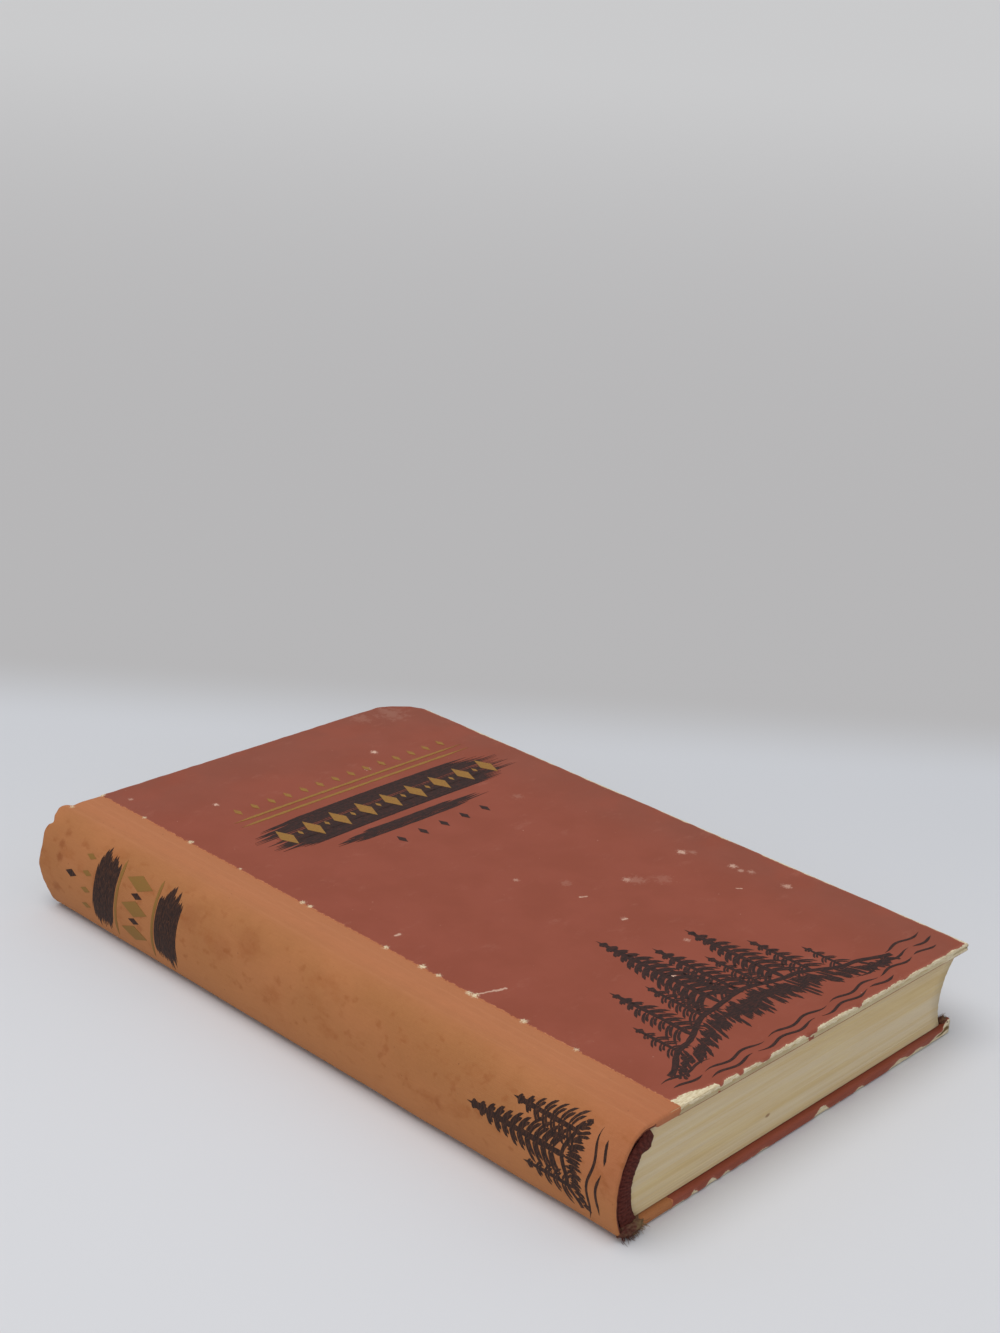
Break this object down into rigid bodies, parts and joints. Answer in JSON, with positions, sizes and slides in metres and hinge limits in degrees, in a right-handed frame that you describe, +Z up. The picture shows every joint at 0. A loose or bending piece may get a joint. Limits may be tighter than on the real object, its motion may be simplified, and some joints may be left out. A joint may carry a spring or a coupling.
{
  "type": "hardback book",
  "caption": "Old hardback book in a quarter cloth case: rounded spine, worn printed covers that open on their joints, and a block of yellowed pages.",
  "frame": {"origin": "centre of the bottom face of the book's box, on the surface that the back cover lies on", "axes": "+Y along the spine from tail to head, +X from the spine to the fore edge, +Z up through the front cover"},
  "size_m": [0.1364, 0.205, 0.027],
  "materials": {
    "pages": "yellowed page edges, matt",
    "endleaves": "uncoated cream paper, matt",
    "cover_paper": "printed covering paper, worn and slightly satin",
    "spine_cloth": "faded book cloth, matt",
    "boards": "raw pressed board, matt",
    "inlay_card": "raw card, matt",
    "lining_paper": "brown lining paper, matt",
    "gauze": "stiffened open gauze, matt",
    "woven_bands": "woven maroon band, matt"
  },
  "bodies": {
    "book_block": {"text_block": "pages", "front_flyleaf": "endleaves", "back_flyleaf": "endleaves", "spine_gauze": "gauze", "spine_lining": "lining_paper", "head_band": "woven_bands", "tail_band": "woven_bands", "spine_inlay": "inlay_card", "spine_cloth": "spine_cloth"},
    "front_cover": {"front_board": "boards", "front_hinge_cloth": "spine_cloth", "front_cover_paper": "cover_paper", "front_pastedown": "endleaves"},
    "back_cover": {"back_board": "boards", "back_hinge_cloth": "spine_cloth", "back_cover_paper": "cover_paper", "back_pastedown": "endleaves"}
  },
  "joints": [
    {"name": "front_cover_hinge", "type": "hinge", "parent": "book_block", "child": "front_cover", "pos_m": [-0.05749, 0, 0.02715], "axis": [0, -1, 0], "range_deg": [0, 180]},
    {"name": "back_cover_hinge", "type": "hinge", "parent": "book_block", "child": "back_cover", "pos_m": [-0.06109, 0, -0.00015], "axis": [0, 1, 0], "range_deg": [0, 180]}
  ]
}
